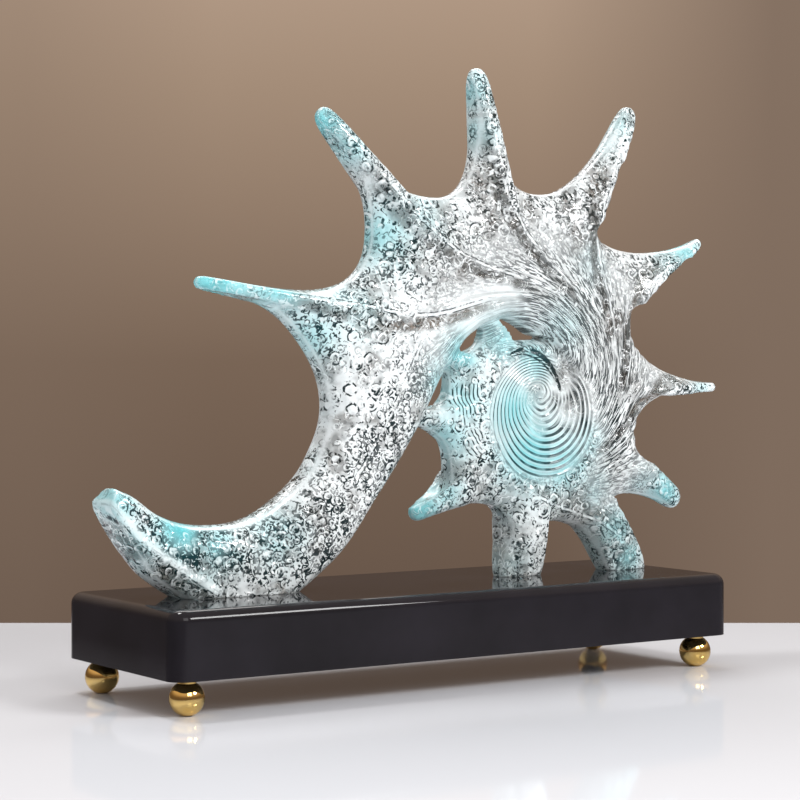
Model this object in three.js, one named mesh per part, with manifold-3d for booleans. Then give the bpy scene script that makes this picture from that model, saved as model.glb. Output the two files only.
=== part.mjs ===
// Cast resin conch on a black base block with four ball feet.
// Millimetres, +Z up. X runs along the base, the shell stands in the XZ plane, Y is its thickness.
// Shell points are [x, z] pairs from the middle of the top of the base, in hundredths of SHELL_HEIGHT.

import * as THREE from "three";
import Module from "manifold-3d";
import { mergeVertices } from "three/addons/utils/BufferGeometryUtils.js";

const wasm = await Module();
wasm.setup();

// Base block
const BASE_LENGTH = 300;
const BASE_DEPTH = 102;
const BASE_HEIGHT = 29;
const BASE_CORNER_RADIUS = 8;
const BASE_EDGE_RADIUS = 5;
const BASE_CORNER_STEPS = 6;
const BASE_EDGE_STEPS = 5;

// Ball feet and the studs that hold them
const BALL_DIAMETER = 15;
const BALL_FLAT_DEPTH = 0.3;
const BALL_STEPS = 8;
const FOOT_NECK_DIAMETER = 8;
const FOOT_NECK_HEIGHT = 0.8;
const FOOT_INSET = 12;
const STUD_DIAMETER = 5;
const STUD_IN_BALL = 8;
const STUD_IN_BASE = 12;
const STUD_CHAMFER = 0.8;

// Screws and washers that hold the shell from below
const SCREW_DIAMETER = 5;
const SCREW_TIP_DIAMETER = 1.2;
const SCREW_HEAD_DIAMETER = 9.5;
const SCREW_HEAD_HEIGHT = 3;
const SCREW_HEAD_CHAMFER = 1;
const SCREW_IN_SHELL = 9;
const SCREW_SOCKET_WIDTH = 3;
const SCREW_SOCKET_DEPTH = 1.8;
const WASHER_DIAMETER = 12;
const WASHER_THICKNESS = 1;
const RECESS_GAP = 1;
const RECESS_DEPTH = 13;

// Where the screws stand along the shell, under the tail and the two legs, in hundredths of SHELL_HEIGHT
const SCREW_PLACES = [-38.6, 25.2, 51.2];
const SCREW_NAMES = ["tail", "left_leg", "right_leg"];

// Fit gaps, and how far a cut starts outside the face that it cuts
const HOLE_GAP = 0.3;
const END_GAP = 1;
const OVERCUT = 5;

// Points of a geometry, and of a finished solid, that lie closer than this are joined
const VERTEX_DISTANCE = 1e-4;
const MERGE_DISTANCE = 0.01;

// Shell
const SHELL_HEIGHT = 238.5;
const SHELL_THICKNESS = 28;

// Eye of the spiral, and the core circle that the inner whorl starts on
const EYE = [27.9, 36.7];
const CORE = [30.6, 36.7];
const CORE_RADIUS = 15;
const NUCLEUS_RADIUS = 22.5;
const NUCLEUS_HEIGHT = 9.6;
const NUCLEUS_EDGE_HEIGHT = 7;
const NUCLEUS_RINGS = 4;

// Section of the shell: rows of points from the inner edge over the crest to the thin outer edge
const SHELL_ROWS = 12;
const SHELL_ROW_BIAS = 1.2;
const SHELL_CREST = 0.4;
const EDGE_SHARE = 0.07;
const GROOVE_DEPTH = 1.5;

// Ribs on both faces. Each runs straight down its horn, then winds with the spiral toward the eye.
// RIB_TURN is how far in degrees a rib would wind in all, half of it by RIB_TURN_RADIUS from the eye.
// Their radii and the least run inward are in hundredths of SHELL_HEIGHT.
const RIB_TURN = 160;
const RIB_TURN_RADIUS = 16.6;
const RIB_TURN_POWER = 4.6;
const RIB_END_RADIUS = 16.8;
const RIB_LEAST_RUN = 2;
const RIB_STEPS = 10;
const RIB_HEIGHT = 1.9;
const RIB_HALF_WIDTH = 9;
const RIB_TIP_SHARE = 0.15;
const RIB_EDGE_POWER = 6;

// Horns and the plain stretches of the arm and tail
const HORN_STRETCH = 3;
const HORN_FLARE = 0.42;
const HORN_TIP_SHARE = 0.16;
const ARM_BEND = 0.36;
const FLANK_STEPS = 5;
const TIP_STEPS = 3;
const ARM_STEPS = 3;

// Sides of the round pieces that show, and of those that are hidden
const ROUND_STEPS = 20;
const HIDDEN_STEPS = 16;

// Outline of the shell in the order in which it grew, from the start beside the eye to the end of the tail.
// Each valley has its place, the heading of the outline there, how thick the shell is as a share of
// SHELL_THICKNESS, how full the section is on its inner side (fill) and how square it is (square).
// A seat is where a section starts on the inner edge. With none it starts on the core around the eye.
// A horn stands between one valley and the next. Its aim is the heading of its axis,
// its round is the radius of its tip, and its flare is how far its first and second flank follow the valleys.
// Its rib is how long the straight part of its rib is.
const GROWTH = [
  { at: [36.5, 44.9], heading: 157, thick: 0.57, fill: 0.95, square: 1.8 },
  { at: [25.8, 46.8], heading: 184, thick: 0.5, fill: 0.95, square: 1.8 },
  { horn: "start", tip: [17, 52.6], aim: 108, round: 1.5, rib: 5, flare: [0.62, 0.42] },
  { at: [13, 44.7], heading: 203, thick: 0.68, fill: 0.95, square: 1.8 },
  { horn: "upper", tip: [3.6, 45.3], aim: 155, round: 1.7, rib: 7.5 },
  { at: [8, 37.5], heading: 266, thick: 0.71, fill: 0.92, square: 1.8 },
  { horn: "middle", tip: [-0.8, 31.7], aim: 172, round: 1.5, rib: 7.5 },
  { at: [7.8, 22.6], heading: 274, thick: 0.79, fill: 0.85, square: 1.8 },
  { horn: "lower", tip: [-0.4, 13], aim: 194, round: 1.7, rib: 11, flare: [0.6, 0.4] },
  { at: [16.8, 14.5], heading: 353, thick: 0.86, fill: 0.78, square: 2 },
  { horn: "left leg", tip: [24.7, -4.4], aim: 263, round: 5.2, rib: 11, flare: [0.5, 0.5] },
  { at: [33.5, 10.5], heading: 0, thick: 0.89, fill: 0.74, square: 2.2 },
  { horn: "right leg", tip: [55.6, -4.6], aim: 303, round: 5, rib: 14, flare: [0.4, 0.62] },
  { at: [48.2, 13.2], heading: 72, thick: 0.89, fill: 0.72, square: 1.8 },
  { horn: "low right", tip: [67.3, 13], aim: 328, round: 2.3, rib: 12.5, flare: [0.28, 0.42] },
  { at: [54.7, 27.9], heading: 92, thick: 0.93, fill: 0.7, square: 1.8, parting: true },
  { horn: "right", tip: [77.4, 37.1], aim: 0, round: 1, rib: 14, flare: [0.4, 0.34], seat: [36.9, 35.4] },
  { at: [53, 50.9], heading: 92, thick: 0.96, fill: 0.8, square: 1.8, seat: [36.9, 39.6] },
  { horn: "high right", tip: [73.2, 67.7], aim: 27, round: 1, rib: 18, flare: [0.6, 0.3], seat: [35.8, 42.6] },
  { at: [43.4, 70.9], heading: 98, thick: 0.96, fill: 0.8, square: 1.8, seat: [33.5, 45.1] },
  { horn: "top right", tip: [54.3, 94.5], aim: 61, round: 1.9, rib: 22, flare: [0.6, 0.3], seat: [31.7, 47.2] },
  { at: [31.9, 75.9], heading: 186, thick: 0.96, fill: 0.32, square: 1.8, seat: [28.1, 48] },
  { horn: "top", tip: [15.2, 100], aim: 98, round: 1.9, rib: 24, flare: [0.47, 0.42], seat: [25.1, 49.7] },
  { at: [5, 74.2], heading: 180, thick: 1, fill: 0.22, square: 1.8, seat: [21.4, 50.9] },
  { horn: "top left", tip: [-21, 89.7], aim: 134, round: 1.9, rib: 26, seat: [18, 50.3] },
  { at: [-10.1, 66.9], heading: 268, thick: 1, fill: 0.15, square: 1.9, seat: [14.9, 48.8] },
  { horn: "left", tip: [-47.4, 57], aim: 173, round: 1.7, rib: 35, seat: [11.4, 46.2] },
  { at: [-25.2, 46.3], heading: 310, thick: 1, fill: 0.15, square: 2.4, seat: [6.7, 40.5] },
  { at: [-19.9, 33.8], heading: 270, thick: 1, fill: 0.12, square: 2.8, seat: [-0.6, 28.7] },
  { at: [-22.9, 24.7], heading: 242, thick: 1, fill: 0.12, square: 3.2, seat: [-9.6, 16.6] },
  { at: [-31.9, 16.1], heading: 213, thick: 1, fill: 0.12, square: 3.6, seat: [-20.1, 4.4] },
  { at: [-44, 12.8], heading: 180, thick: 0.96, fill: 0.12, square: 4, seat: [-37.7, -4.8] },
  { at: [-55.8, 15.3], heading: 153, thick: 0.89, fill: 0.12, square: 4, seat: [-56.4, 2.9] },
  { at: [-63.3, 19.7], heading: 165, thick: 0.68, fill: 0.12, square: 4, seat: [-66, 15.3] },
];

// Derived sizes and levels
const unit = SHELL_HEIGHT / 100;
const screwPlaces = SCREW_PLACES.map((x) => x * unit);
const ballRadius = BALL_DIAMETER / 2;
const ballCentre = ballRadius - BALL_FLAT_DEPTH;
const baseUnder = ballCentre + ballRadius + FOOT_NECK_HEIGHT;
const baseTop = baseUnder + BASE_HEIGHT;
const recessTop = baseUnder + RECESS_DEPTH;
const headTop = recessTop - WASHER_THICKNESS;
const screwHoleRadius = SCREW_DIAMETER / 2 + HOLE_GAP;
const studHoleRadius = STUD_DIAMETER / 2 + HOLE_GAP;
const footX = BASE_LENGTH / 2 - FOOT_INSET;
const footY = BASE_DEPTH / 2 - FOOT_INSET;
const footPlaces = [[-footX, -footY], [footX, -footY], [footX, footY], [-footX, footY]];

const resin = new THREE.MeshStandardMaterial({ color: 0xbfe9ec, roughness: 0.12, metalness: 0 });
const lacquer = new THREE.MeshStandardMaterial({ color: 0x0b0b0d, roughness: 0.1, metalness: 0 });
const gold = new THREE.MeshStandardMaterial({ color: 0xd9a53a, roughness: 0.15, metalness: 1 });
const steel = new THREE.MeshStandardMaterial({ color: 0xb9bcc0, roughness: 0.3, metalness: 1 });

// A shell point in millimetres.
function placed([x, z]) {
  return new THREE.Vector2(x * unit, z * unit);
}

function direction(degrees) {
  const a = THREE.MathUtils.degToRad(degrees);
  return new THREE.Vector2(Math.cos(a), Math.sin(a));
}

// A closed geometry as a solid that can be joined and cut, with its faces turned outward.
function solid(geometry) {
  const bare = geometry.clone();
  bare.deleteAttribute("normal");
  bare.deleteAttribute("uv");
  const merged = mergeVertices(bare, VERTEX_DISTANCE);
  const position = merged.getAttribute("position");
  const index = merged.getIndex().array;
  const faces = [];
  let volume = 0;
  const a = new THREE.Vector3();
  const b = new THREE.Vector3();
  const c = new THREE.Vector3();
  for (let i = 0; i < index.length; i += 3) {
    const [p, q, r] = [index[i], index[i + 1], index[i + 2]];
    if (p === q || q === r || r === p) continue;
    faces.push([p, q, r]);
    a.fromBufferAttribute(position, p);
    b.fromBufferAttribute(position, q);
    c.fromBufferAttribute(position, r);
    volume += a.dot(b.cross(c));
  }
  const outward = volume < 0 ? faces.map(([p, q, r]) => [p, r, q]) : faces;
  return new wasm.Manifold(
    new wasm.Mesh({
      numProp: 3,
      vertProperties: Float32Array.from(position.array),
      triVerts: Uint32Array.from(outward.flat()),
    }),
  );
}

function geometryOf(body) {
  const mesh = body.getMesh();
  const geometry = new THREE.BufferGeometry();
  geometry.setAttribute("position", new THREE.BufferAttribute(Float32Array.from(mesh.vertProperties), 3));
  geometry.setIndex(Array.from(mesh.triVerts));
  geometry.computeVertexNormals();
  return geometry;
}

// Solid over a row of closed rings that have the same number of points, between its two end caps.
function skinned(rings, capsFor) {
  const size = rings[0].length;
  const points = rings.flat();
  const index = [];
  for (let i = 0; i + 1 < rings.length; i++) {
    for (let k = 0; k < size; k++) {
      const p = i * size + k;
      const q = i * size + ((k + 1) % size);
      index.push(p, q, q + size, p, q + size, p + size);
    }
  }
  index.push(...capsFor(points, size));
  const geometry = new THREE.BufferGeometry().setFromPoints(points);
  geometry.setIndex(index);
  return solid(geometry);
}

// End caps of a ring that lies like a folded strip: point k is joined to its mirror point across.
function stripCaps(points, size) {
  const last = points.length - size;
  const index = [];
  for (let k = 0; k < size / 2 - 1; k++) {
    const across = size - 1 - k;
    index.push(k, across, across - 1, k, across - 1, k + 1);
    index.push(last + k, last + across - 1, last + across, last + k, last + k + 1, last + across - 1);
  }
  return index;
}

// End caps of a convex ring, each a fan about the middle of its ring.
function fanCaps(points, size) {
  const last = points.length - size;
  const middle = (from) =>
    points
      .slice(from, from + size)
      .reduce((sum, p) => sum.add(p), new THREE.Vector3())
      .divideScalar(size);
  const ends = [middle(0), middle(last)];
  const foot = points.push(ends[0]) - 1;
  const head = points.push(ends[1]) - 1;
  const index = [];
  for (let k = 0; k < size; k++) {
    const next = (k + 1) % size;
    index.push(foot, next, k, head, last + k, last + next);
  }
  return index;
}

// Solid of revolution about Z from [radius, z] pairs that start and end on the axis.
function turned(profile, steps, x = 0, y = 0) {
  const geometry = new THREE.LatheGeometry(
    profile.map(([r, z]) => new THREE.Vector2(r, z)),
    steps,
  );
  geometry.rotateX(Math.PI / 2);
  geometry.translate(x, y, 0);
  return solid(geometry);
}

function cylinder(radius, low, high, x = 0, y = 0) {
  return turned([[0, low], [radius, low], [radius, high], [0, high]], HIDDEN_STEPS, x, y);
}

function piece(name, body, material) {
  const mesh = new THREE.Mesh(geometryOf(body), material);
  mesh.name = name;
  return mesh;
}

function roundedRectangle(halfX, halfY, radius, z) {
  const ring = [];
  for (const [sx, sy, from] of [[1, 1, 0], [-1, 1, 90], [-1, -1, 180], [1, -1, 270]]) {
    for (let i = 0; i <= BASE_CORNER_STEPS; i++) {
      const d = direction(from + (90 * i) / BASE_CORNER_STEPS);
      ring.push(
        new THREE.Vector3(sx * (halfX - radius) + radius * d.x, sy * (halfY - radius) + radius * d.y, z),
      );
    }
  }
  return ring;
}

// Base block: straight sides up to the rounded top edge, blind holes for the studs,
// and a recess and a through hole for each screw.
function baseBlock() {
  const halfX = BASE_LENGTH / 2;
  const halfY = BASE_DEPTH / 2;
  const rings = [roundedRectangle(halfX, halfY, BASE_CORNER_RADIUS, baseUnder)];
  for (let i = 0; i <= BASE_EDGE_STEPS; i++) {
    const d = direction((90 * i) / BASE_EDGE_STEPS);
    const inset = BASE_EDGE_RADIUS * (1 - d.x);
    const z = baseTop - BASE_EDGE_RADIUS + BASE_EDGE_RADIUS * d.y;
    rings.push(roundedRectangle(halfX - inset, halfY - inset, BASE_CORNER_RADIUS - inset, z));
  }
  let body = skinned(rings, fanCaps);
  const low = baseUnder - OVERCUT;
  for (const [x, y] of footPlaces) {
    body = body.subtract(cylinder(studHoleRadius, low, baseUnder + STUD_IN_BASE + END_GAP, x, y));
  }
  for (const x of screwPlaces) {
    body = body.subtract(cylinder(screwHoleRadius, low, baseTop + OVERCUT, x, 0));
    body = body.subtract(cylinder(WASHER_DIAMETER / 2 + RECESS_GAP, low, recessTop, x, 0));
  }
  return body;
}

// Ball foot: flat below, with a short neck up to the base and a blind hole for its stud.
function ballFoot() {
  const flat = Math.acos(ballCentre / ballRadius);
  const neck = Math.asin(FOOT_NECK_DIAMETER / 2 / ballRadius);
  const profile = [[0, 0], [ballRadius * Math.sin(flat), 0]];
  for (let i = 1; i <= BALL_STEPS; i++) {
    const a = flat + ((Math.PI - neck - flat) * i) / BALL_STEPS;
    profile.push([ballRadius * Math.sin(a), ballCentre - ballRadius * Math.cos(a)]);
  }
  profile.push([FOOT_NECK_DIAMETER / 2, baseUnder]);
  profile.push([0, baseUnder]);
  const hole = cylinder(studHoleRadius, baseUnder - STUD_IN_BALL - END_GAP, baseUnder + OVERCUT);
  return turned(profile, ROUND_STEPS).subtract(hole);
}

function stud() {
  const r = STUD_DIAMETER / 2;
  const low = baseUnder - STUD_IN_BALL;
  const high = baseUnder + STUD_IN_BASE;
  return turned([
    [0, low],
    [r - STUD_CHAMFER, low],
    [r, low + STUD_CHAMFER],
    [r, high - STUD_CHAMFER],
    [r - STUD_CHAMFER, high],
    [0, high],
  ], HIDDEN_STEPS);
}

// Screw with a hexagonal socket in its head, which is down in the recess.
function screw() {
  const r = SCREW_DIAMETER / 2;
  const tip = SCREW_TIP_DIAMETER / 2;
  const head = SCREW_HEAD_DIAMETER / 2;
  const low = headTop - SCREW_HEAD_HEIGHT;
  const high = baseTop + SCREW_IN_SHELL;
  const body = turned([
    [0, low],
    [head - SCREW_HEAD_CHAMFER, low],
    [head, low + SCREW_HEAD_CHAMFER],
    [head, headTop],
    [r, headTop],
    [r, high - r],
    [tip, high],
    [0, high],
  ], HIDDEN_STEPS);
  const corner = SCREW_SOCKET_WIDTH / Math.sqrt(3);
  const socket = new THREE.CylinderGeometry(corner, corner, SCREW_SOCKET_DEPTH * 2, 6);
  socket.rotateX(Math.PI / 2);
  socket.translate(0, 0, low);
  return body.subtract(solid(socket));
}

function washer() {
  const hole = cylinder(screwHoleRadius, headTop - OVERCUT, recessTop + OVERCUT);
  return cylinder(WASHER_DIAMETER / 2, headTop, recessTop).subtract(hole);
}

// Curve from p to q that leaves along pRun and arrives along qRun.
function bent(p, pRun, q, qRun, bend) {
  const reach = p.distanceTo(q) * bend;
  return new THREE.CubicBezierCurve(
    p,
    p.clone().addScaledVector(pRun, reach),
    q.clone().addScaledVector(qRun, -reach),
    q,
  );
}

// One stretch of the outline between two valleys, over the horn if there is one.
// Returns points with their share of the way, the middle of the horn tip being one half.
function stretch(from, horn, to) {
  const start = placed(from.at);
  const end = placed(to.at);
  const startRun = direction(from.heading);
  const endRun = direction(to.heading);
  const points = [];
  const follow = (curve, steps, low, high) => {
    for (let i = 0; i < steps; i++) {
      points.push({ point: curve(i / steps), share: low + ((high - low) * i) / steps });
    }
  };
  if (!horn) {
    const line = bent(start, startRun, end, endRun, ARM_BEND);
    follow((t) => line.getPoint(t), ARM_STEPS, 0, 1);
    return points;
  }
  const axis = direction(horn.aim);
  const across = direction(horn.aim + 90);
  const [flareOut, flareBack] = horn.flare ?? [HORN_FLARE, HORN_FLARE];
  const round = horn.round * unit;
  const centre = placed(horn.tip).addScaledVector(axis, -round);
  const first = centre.clone().addScaledVector(across, -round);
  const second = centre.clone().addScaledVector(across, round);
  const out = bent(start, startRun, first, axis, flareOut);
  const back = bent(second, axis.clone().negate(), end, endRun, flareBack);
  const tipFrom = (1 - HORN_TIP_SHARE) / 2;
  const tipTo = (1 + HORN_TIP_SHARE) / 2;
  const aroundTip = (t) => centre.clone().addScaledVector(direction(horn.aim - 90 + 180 * t), round);
  follow((t) => out.getPoint(t), FLANK_STEPS, 0, tipFrom);
  follow(aroundTip, TIP_STEPS, tipFrom, tipTo);
  follow((t) => back.getPoint(t), FLANK_STEPS, tipTo, 1);
  return points;
}

// Half thickness of the shell at a share u of the way from its inner edge to its outline.
function halfThickness(u, half, fill, square) {
  if (u < SHELL_CREST) {
    const v = 1 - u / SHELL_CREST;
    return half * (fill + (1 - fill) * Math.sqrt(1 - v ** Math.max(square, 2)));
  }
  const v = (u - SHELL_CREST) / (1 - SHELL_CREST);
  return half * (EDGE_SHARE + (1 - EDGE_SHARE) * Math.sqrt(Math.max(0, 1 - v ** square)));
}

// Angle in degrees that a rib has wound by at a distance from the eye.
function woundBy(radius) {
  return RIB_TURN / (1 + (radius / (RIB_TURN_RADIUS * unit)) ** RIB_TURN_POWER);
}

// Points of a horn's rib from the tip inward, with the height and half width of the rib at each.
function ribOf(horn) {
  const eye = placed(EYE);
  const tip = placed(horn.tip);
  const root = tip.clone().addScaledVector(direction(horn.aim), -horn.rib * unit);
  const fromEye = root.clone().sub(eye);
  const radius = fromEye.length();
  const angle = THREE.MathUtils.radToDeg(Math.atan2(fromEye.y, fromEye.x));
  const endRadius = Math.min(RIB_END_RADIUS * unit, radius - RIB_LEAST_RUN * unit);
  const rib = [{ point: tip, height: 0, halfWidth: RIB_HALF_WIDTH * RIB_TIP_SHARE }];
  for (let i = 0; i <= RIB_STEPS; i++) {
    const r = THREE.MathUtils.lerp(radius, endRadius, i / RIB_STEPS);
    const point = direction(angle + woundBy(radius) - woundBy(r)).multiplyScalar(r).add(eye);
    const left = 1 - i / RIB_STEPS;
    rib.push({ point, height: RIB_HEIGHT * left, halfWidth: RIB_HALF_WIDTH * (left + 1) / 2 });
  }
  return rib;
}

// How far the ribs stand out of the face at a point.
function ribRise(ribs, spot) {
  let rise = 0;
  const run = new THREE.Vector2();
  for (const rib of ribs) {
    for (let i = 0; i + 1 < rib.length; i++) {
      const [from, to] = [rib[i], rib[i + 1]];
      run.subVectors(to.point, from.point);
      const ahead = spot.clone().sub(from.point).dot(run) / run.lengthSq();
      const share = THREE.MathUtils.clamp(ahead, 0, 1);
      const away = spot.distanceTo(from.point.clone().addScaledVector(run, share));
      const halfWidth = THREE.MathUtils.lerp(from.halfWidth, to.halfWidth, share);
      const height = THREE.MathUtils.lerp(from.height, to.height, share);
      rise = Math.max(rise, height * (1 - away / halfWidth));
    }
  }
  return rise;
}

// Rings of the whorl between two entries of the growth list. Each ring runs out from the inner edge
// on the front and back on the rear face. Every other row is a groove that follows the spiral,
// the rows bend out into each horn, and the ribs stand out of them.
function whorl(low, high, ribs) {
  const core = placed(CORE);
  const onCore = (point) => point.clone().sub(core).setLength(CORE_RADIUS).add(core);
  const entries = GROWTH.slice(low, high + 1);
  const seated = entries.some((e) => e.seat);
  const seats = entries.map((e) => (e.seat ? placed(e.seat) : onCore(placed(e.at ?? e.tip))));
  const seatCurve = new THREE.SplineCurve(seats);
  const last = entries.length - 1;
  const samples = [];
  for (let i = 0; i < last; ) {
    const horn = entries[i + 1].horn ? entries[i + 1] : null;
    const step = horn ? 2 : 1;
    const stretchPoints = stretch(entries[i], horn, entries[i + step]);
    if (i + step === last) stretchPoints.push({ point: placed(entries[last].at), share: 1 });
    for (const { point, share } of stretchPoints) samples.push({ point, share, from: i, to: i + step });
    i += step;
  }
  const reach = (i) => seats[i].distanceTo(placed(entries[i].at));
  return samples.map(({ point, share, from, to }) => {
    const place = from + (to - from) * share;
    const seat = seated ? seatCurve.getPoint(place / last) : onCore(point);
    const mix = (key) => THREE.MathUtils.lerp(entries[from][key], entries[to][key], share);
    const full = seat.distanceTo(point);
    const body = Math.min(full, THREE.MathUtils.lerp(reach(from), reach(to), share));
    const front = [];
    const rear = [];
    for (let k = 0; k <= SHELL_ROWS; k++) {
      const u = 1 - (1 - k / SHELL_ROWS) ** SHELL_ROW_BIAS;
      const way = (body * u + (full - body) * u ** HORN_STRETCH) / full;
      const spot = seat.clone().lerp(point, way);
      const groove = k % 2 ? GROOVE_DEPTH * (1 - u ** 2) * mix("fill") : 0;
      const half = (mix("thick") * SHELL_THICKNESS) / 2;
      const rise = ribRise(ribs, spot) * (1 - u ** RIB_EDGE_POWER);
      const y = halfThickness(u, half, mix("fill"), mix("square")) - groove + rise;
      front.push(new THREE.Vector3(spot.x, -y, spot.y));
      rear.unshift(new THREE.Vector3(spot.x, y, spot.y));
    }
    return [...front, ...rear];
  });
}

// The eye of the spiral: a low dome with ring grooves on both faces.
function nucleus() {
  const rise = NUCLEUS_HEIGHT - NUCLEUS_EDGE_HEIGHT;
  const steps = NUCLEUS_RINGS * 2;
  const upper = [];
  for (let i = 0; i <= steps; i++) {
    const share = i / steps;
    const groove = i % 2 ? GROOVE_DEPTH : 0;
    upper.push([NUCLEUS_RADIUS * share, NUCLEUS_EDGE_HEIGHT + rise * Math.sqrt(1 - share ** 2) - groove]);
  }
  const lower = upper.map(([r, z]) => [r, -z]);
  const body = turned([...lower, ...upper.reverse()], ROUND_STEPS);
  const eye = placed(EYE);
  return body.rotate([90, 0, 0]).translate([eye.x, 0, eye.y]);
}

// The whole shell, level at z = 0 where it stands on the base, with blind holes for the screws.
function shellCasting() {
  const parting = GROWTH.findIndex((e) => e.parting);
  const ribs = GROWTH.filter((e) => e.horn).map(ribOf);
  let body = nucleus();
  body = body.add(skinned(whorl(0, parting, ribs), stripCaps));
  body = body.add(skinned(whorl(parting, GROWTH.length - 1, ribs), stripCaps));
  const depth = OVERCUT - body.boundingBox().min[2];
  const below = new THREE.BoxGeometry(BASE_LENGTH * 2, BASE_DEPTH * 2, depth);
  below.translate(0, 0, -depth / 2);
  body = body.subtract(solid(below));
  for (const x of screwPlaces) {
    body = body.subtract(cylinder(screwHoleRadius, -OVERCUT, SCREW_IN_SHELL + END_GAP, x, 0));
  }
  return body.simplify(MERGE_DISTANCE);
}

const group = new THREE.Group();
group.name = "resin_conch_statue";
const casting = piece("shell_casting", shellCasting(), resin);
casting.position.set(0, 0, baseTop);
group.add(casting);
group.add(piece("base_block", baseBlock(), lacquer));

footPlaces.forEach(([x, y], i) => {
  const foot = piece(`ball_foot_${i + 1}`, ballFoot(), gold);
  foot.position.set(x, y, 0);
  group.add(foot);
  const rod = piece(`foot_stud_${i + 1}`, stud(), steel);
  rod.position.set(x, y, 0);
  group.add(rod);
});

screwPlaces.forEach((x, i) => {
  const bolt = piece(`screw_${SCREW_NAMES[i]}`, screw(), steel);
  bolt.position.set(x, 0, 0);
  group.add(bolt);
  const ring = piece(`washer_${SCREW_NAMES[i]}`, washer(), steel);
  ring.position.set(x, 0, 0);
  group.add(ring);
});

// The part's origin is the middle of its footprint at table level.
const centre = new THREE.Box3().setFromObject(group).getCenter(new THREE.Vector3());
group.position.set(-centre.x, -centre.y, 0);

export default group;
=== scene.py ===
import math
from functools import partialmethod

import bmesh
import bpy
import numpy as np
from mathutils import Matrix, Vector
from mathutils.kdtree import KDTree


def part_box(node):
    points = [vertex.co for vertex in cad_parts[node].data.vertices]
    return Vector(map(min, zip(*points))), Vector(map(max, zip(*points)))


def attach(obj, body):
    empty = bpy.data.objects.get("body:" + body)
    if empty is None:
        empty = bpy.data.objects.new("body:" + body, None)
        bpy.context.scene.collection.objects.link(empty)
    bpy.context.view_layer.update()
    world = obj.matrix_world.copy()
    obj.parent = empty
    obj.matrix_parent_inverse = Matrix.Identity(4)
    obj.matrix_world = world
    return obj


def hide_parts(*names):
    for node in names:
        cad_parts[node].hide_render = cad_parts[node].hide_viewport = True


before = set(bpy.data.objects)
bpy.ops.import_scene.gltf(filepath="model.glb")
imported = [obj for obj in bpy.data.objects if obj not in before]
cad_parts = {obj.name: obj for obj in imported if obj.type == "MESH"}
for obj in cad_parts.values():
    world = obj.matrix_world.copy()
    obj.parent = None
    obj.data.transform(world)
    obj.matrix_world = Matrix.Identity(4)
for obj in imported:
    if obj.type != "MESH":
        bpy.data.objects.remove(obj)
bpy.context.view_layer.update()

MM = 0.001
SEED = 7
rng = np.random.default_rng(SEED)

# Sizes of the part, in millimetres
BASE_LENGTH, BASE_DEPTH = 300.0, 102.0
BASE_CORNER, BASE_EDGE = 8.0, 5.0
BALL_DIAMETER, BALL_FLAT, NECK_RADIUS = 15.0, 0.3, 4.0
SHELL_HEIGHT, SHELL_THICKNESS = 238.5, 28.0
UNIT = SHELL_HEIGHT / 100
# Eye of the spiral, and the core circle that the inner whorl starts on
EYE = np.array([27.9, 36.7]) * UNIT
CORE = np.array([30.6, 36.7]) * UNIT
CORE_RADIUS = 15.0
NUCLEUS_RADIUS, NUCLEUS_HEIGHT, NUCLEUS_EDGE = 22.2, 9.4, 7.0

low_base, high_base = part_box("base_block")
centre_x = (low_base[0] + high_base[0]) / 2 / MM
base_under = low_base[2] / MM
base_top = high_base[2] / MM
# Middle of the base top, where shell millimetres start
origin = np.array([centre_x, 0, base_top])
shell_low, shell_high = (np.array(p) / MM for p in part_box("shell_casting"))

# Camera at the photograph's viewing angle: its place from under the middle of the base, turns and lens
CAMERA_PLACE = (-585.5, -863.4, 146.1)
CAMERA_HEADING, CAMERA_DIP = -33.863, 0.982
LENS, SENSOR_WIDTH = 102.28, 36

cam_data = bpy.data.cameras.new("camera")
cam_data.lens = LENS
cam_data.sensor_width = SENSOR_WIDTH
cam_data.clip_start = 0.01
camera = bpy.data.objects.new("camera", cam_data)
camera.location = ((centre_x + CAMERA_PLACE[0]) * MM, CAMERA_PLACE[1] * MM, CAMERA_PLACE[2] * MM)
camera.rotation_euler = (math.radians(90 - CAMERA_DIP), 0, math.radians(CAMERA_HEADING))
scene = bpy.context.scene
scene.collection.objects.link(camera)
bpy.context.scene.camera = camera
bpy.context.scene.view_settings.view_transform = "Standard"

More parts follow.
